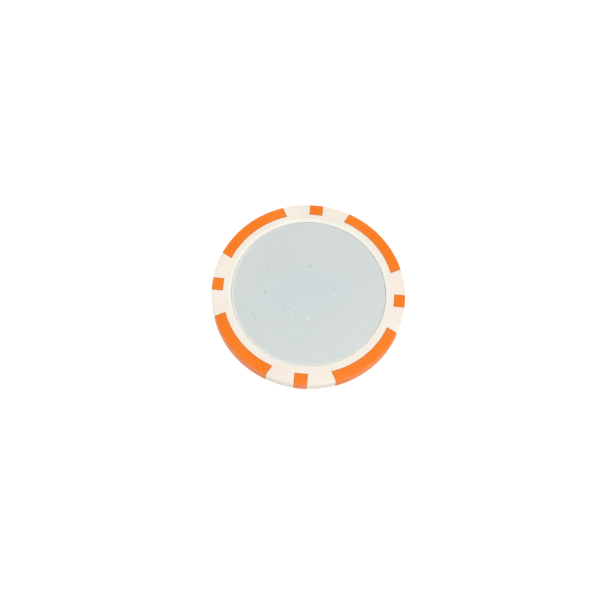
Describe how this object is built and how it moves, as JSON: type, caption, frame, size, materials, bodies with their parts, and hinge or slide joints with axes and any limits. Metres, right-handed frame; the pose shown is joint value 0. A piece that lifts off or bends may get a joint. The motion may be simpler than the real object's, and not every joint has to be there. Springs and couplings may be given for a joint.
{
  "type": "ball marker",
  "caption": "Poker-chip style golf ball marker: thick weighted disc in two plastics, coloured marks round its edge, and a silver label recessed in each face.",
  "frame": {"origin": "centre of the chip's underside, on the plane it rests on", "axes": "+Z is the axis of the chip, out of its front face; +X and +Y each pass through the middle of a short spot, and the long stripes are centred on the diagonals between them"},
  "size_m": [0.04, 0.04, 0.0033],
  "materials": {
    "weight_steel": "blanked and tumbled mild steel, dull",
    "orange_plastic": "moulded styrene plastic, satin",
    "cream_plastic": "moulded styrene plastic, satin",
    "label_adhesive": "tacky acrylic film",
    "silver_film": "metallised polyester, matt silver",
    "clear_film": "clear polyester, semi-gloss"
  },
  "bodies": {
    "root": {"steel_weight": "weight_steel", "stripe_core": "orange_plastic", "chip_body": "cream_plastic", "front_label_adhesive": "label_adhesive", "front_label": "silver_film", "front_clear_cover": "clear_film", "back_label_adhesive": "label_adhesive", "back_label": "silver_film", "back_clear_cover": "clear_film"}
  },
  "joints": []
}
